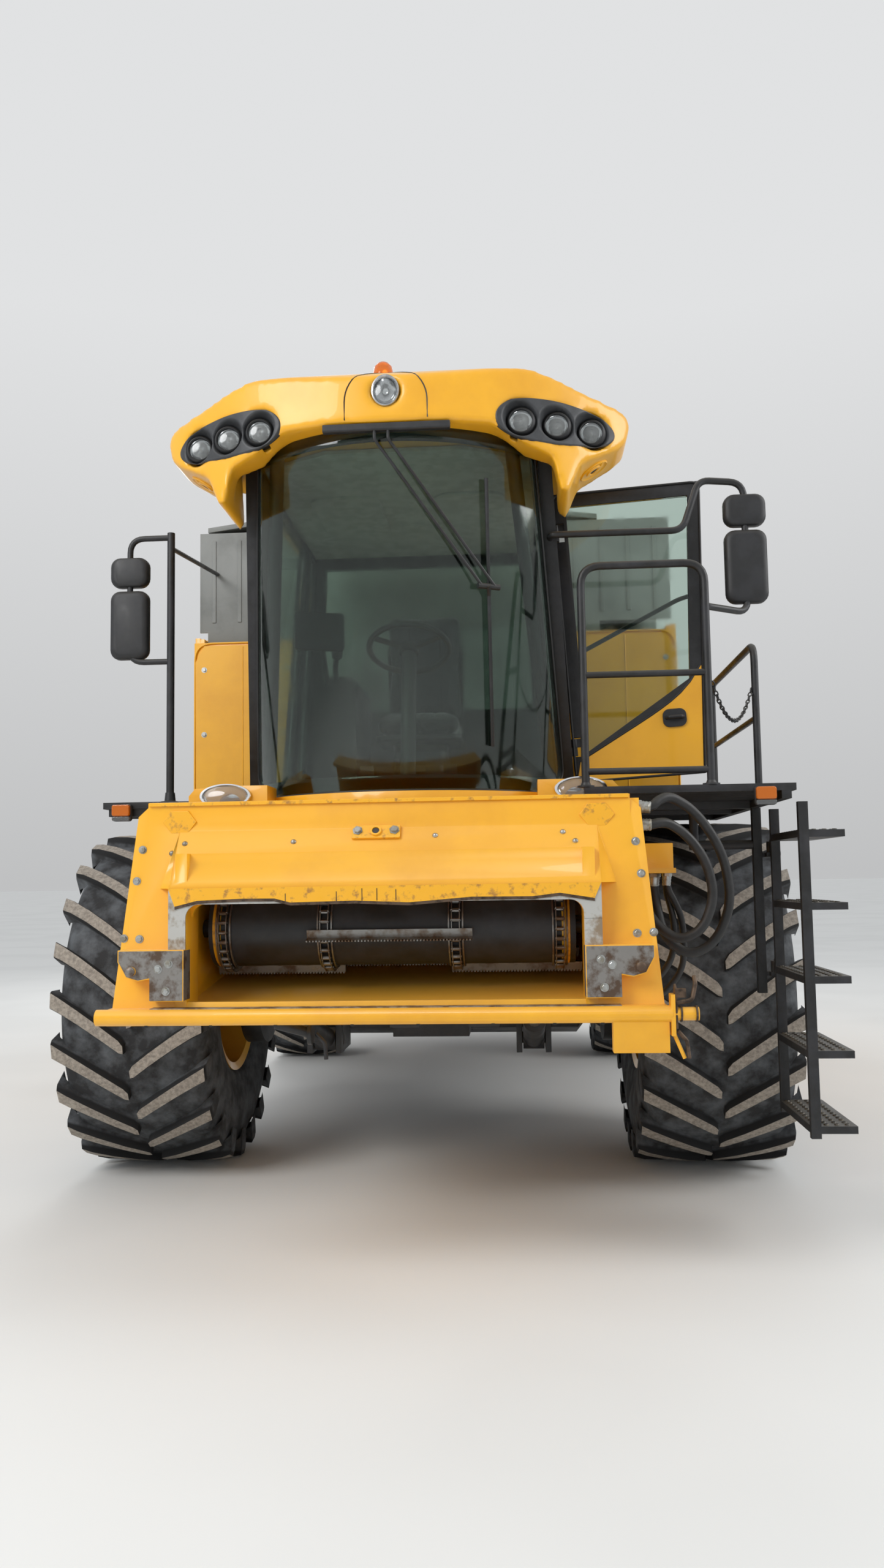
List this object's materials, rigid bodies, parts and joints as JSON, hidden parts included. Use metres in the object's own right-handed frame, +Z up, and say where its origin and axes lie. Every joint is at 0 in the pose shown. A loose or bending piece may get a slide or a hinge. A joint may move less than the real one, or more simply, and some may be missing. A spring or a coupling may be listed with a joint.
{
  "type": "combine harvester",
  "caption": "Self-propelled grain combine without its header: feeder house with slatted chains, high glazed cab, grain tank, folded unloading auger and steered rear wheels.",
  "frame": {"origin": "on the ground under the middle of the machine's length and width", "axes": "+Z up, -Y forward, +X to the operator's left"},
  "size_m": [3.75, 8.4499, 3.9154],
  "materials": {
    "yellow_paint": "semi-gloss",
    "dark_paint": "satin",
    "grey_paint": "satin",
    "bare_steel": "worn",
    "tyre_rubber": "matt, dusty",
    "hose_rubber": "matt",
    "tinted_glass": "tinted",
    "lamp_glass": "clear",
    "seat_cloth": "woven",
    "black_plastic": "grained"
  },
  "bodies": {
    "machine": {"chassis": "dark_paint", "front_axle": "dark_paint", "rear_axle": "dark_paint", "cab_base": "yellow_paint", "cab_frame": "dark_paint", "windscreen": "tinted_glass", "side_glass": "tinted_glass", "cab_roof": "yellow_paint", "lamps": "lamp_glass", "seat": "seat_cloth", "cab_controls": "black_plastic", "wiper": "dark_paint", "platform": "dark_paint", "handrails": "dark_paint", "mirrors": "black_plastic", "bulkheads": "yellow_paint", "grain_tank": "grey_paint", "engine": "bare_steel", "engine_hood": "yellow_paint", "rear_hood": "yellow_paint", "chopper": "dark_paint"},
    "front_wheel_left": {"front_tyre_left": "tyre_rubber", "front_rim_left": "yellow_paint"},
    "front_wheel_right": {"front_tyre_right": "tyre_rubber", "front_rim_right": "yellow_paint"},
    "steering_left": {"knuckle_left": "dark_paint"},
    "steering_right": {"knuckle_right": "dark_paint"},
    "steering_ram_rod": {"steering_rod": "bare_steel"},
    "rear_wheel_left": {"rear_tyre_left": "tyre_rubber", "rear_rim_left": "yellow_paint"},
    "rear_wheel_right": {"rear_tyre_right": "tyre_rubber", "rear_rim_right": "yellow_paint"},
    "feeder": {"feeder_house": "yellow_paint", "feeder_face": "yellow_paint", "feeder_drum": "dark_paint", "feeder_chains": "bare_steel", "hose_1": "hose_rubber", "hose_2": "hose_rubber", "hose_3": "hose_rubber", "hose_4": "hose_rubber"},
    "lift_barrels": {"lift_barrels": "dark_paint"},
    "lift_rods": {"lift_rods": "bare_steel"},
    "door": {"door_frame": "dark_paint", "door_glass": "tinted_glass"},
    "ladder": {"ladder": "dark_paint"},
    "side_panel_left": {"side_panel_left": "yellow_paint"},
    "side_panel_right": {"side_panel_right": "yellow_paint"},
    "tank_cover_left": {"tank_cover_left": "grey_paint"},
    "tank_cover_right": {"tank_cover_right": "grey_paint"},
    "unloading_auger": {"auger_tube": "yellow_paint", "auger_spout": "hose_rubber"},
    "rotary_screen": {"rotary_screen": "dark_paint"}
  },
  "joints": [
    {"name": "front_wheel_spin_left", "type": "hinge", "parent": "machine", "child": "front_wheel_left", "pos_m": [1.475, -1.825, 0.92], "axis": [1, 0, 0], "continuous": true},
    {"name": "front_wheel_spin_right", "type": "hinge", "parent": "machine", "child": "front_wheel_right", "pos_m": [-1.475, -1.825, 0.92], "axis": [1, 0, 0], "continuous": true},
    {"name": "steer_left", "type": "hinge", "parent": "machine", "child": "steering_left", "pos_m": [1.05, 1.975, 0.67], "axis": [0, 0, 1], "range_deg": [-30, 30]},
    {"name": "steer_right", "type": "hinge", "parent": "machine", "child": "steering_right", "pos_m": [-1.05, 1.975, 0.67], "axis": [0, 0, 1], "range_deg": [-30.5, 30.5]},
    {"name": "rear_wheel_spin_left", "type": "hinge", "parent": "steering_left", "child": "rear_wheel_left", "pos_m": [1.4, 1.975, 0.67], "axis": [1, 0, 0], "continuous": true},
    {"name": "rear_wheel_spin_right", "type": "hinge", "parent": "steering_right", "child": "rear_wheel_right", "pos_m": [-1.4, 1.975, 0.67], "axis": [1, 0, 0], "continuous": true},
    {"name": "steering_rod_travel", "type": "slide", "parent": "machine", "child": "steering_ram_rod", "axis": [1, 0, 0], "range_m": [-0.1057, 0.1057]},
    {"name": "feeder_lift", "type": "hinge", "parent": "machine", "child": "feeder", "pos_m": [0, -2.125, 1.56], "axis": [1, 0, 0], "range_deg": [-4, 26]},
    {"name": "lift_barrel_swing", "type": "hinge", "parent": "machine", "child": "lift_barrels", "pos_m": [0, -2.155, 0.7], "axis": [1, 0, 0], "range_deg": [-4.34, 26.59]},
    {"name": "lift_rod_travel", "type": "slide", "parent": "lift_barrels", "child": "lift_rods", "axis": [0, -0.9687, 0.2484], "range_m": [-0.3901, 0.0626]},
    {"name": "cab_door", "type": "hinge", "parent": "machine", "child": "door", "pos_m": [0.79196, -2.955, 1.93134], "axis": [-0.061, 0, 0.9981], "range_deg": [0, 90]},
    {"name": "ladder_swing", "type": "hinge", "parent": "machine", "child": "ladder", "pos_m": [1.68, -2.955, 1.1], "axis": [0, 0, 1], "range_deg": [-90, 0]},
    {"name": "side_panel_left_lift", "type": "hinge", "parent": "machine", "child": "side_panel_left", "pos_m": [1.45, -1.525, 3.074], "axis": [0, 1, 0], "range_deg": [-80, 0]},
    {"name": "side_panel_right_lift", "type": "hinge", "parent": "machine", "child": "side_panel_right", "pos_m": [-1.45, -1.525, 3.074], "axis": [0, 1, 0], "range_deg": [0, 80]},
    {"name": "tank_cover_left_fold", "type": "hinge", "parent": "machine", "child": "tank_cover_left", "pos_m": [1.02, -1.495, 3.75], "axis": [0, 1, 0], "range_deg": [0, 100]},
    {"name": "tank_cover_right_fold", "type": "hinge", "parent": "machine", "child": "tank_cover_right", "pos_m": [-1.4, -1.495, 3.75], "axis": [0, 1, 0], "range_deg": [-100, 0]},
    {"name": "auger_swing", "type": "hinge", "parent": "machine", "child": "unloading_auger", "pos_m": [1.24, -1.125, 3.4], "axis": [0, 0, 1], "range_deg": [-95, 0]},
    {"name": "rotary_screen_spin", "type": "hinge", "parent": "machine", "child": "rotary_screen", "pos_m": [-1.5, 2.075, 2.56], "axis": [1, 0, 0], "continuous": true}
  ],
  "couplings": [
    {"joint": "steer_right", "follows": "steer_left", "ratio": 1},
    {"joint": "steering_rod_travel", "follows": "steer_left", "m_per_rad": -0.2},
    {"joint": "lift_barrel_swing", "follows": "feeder_lift", "ratio": 1.0112},
    {"joint": "lift_rod_travel", "follows": "feeder_lift", "m_per_rad": -0.85309}
  ]
}
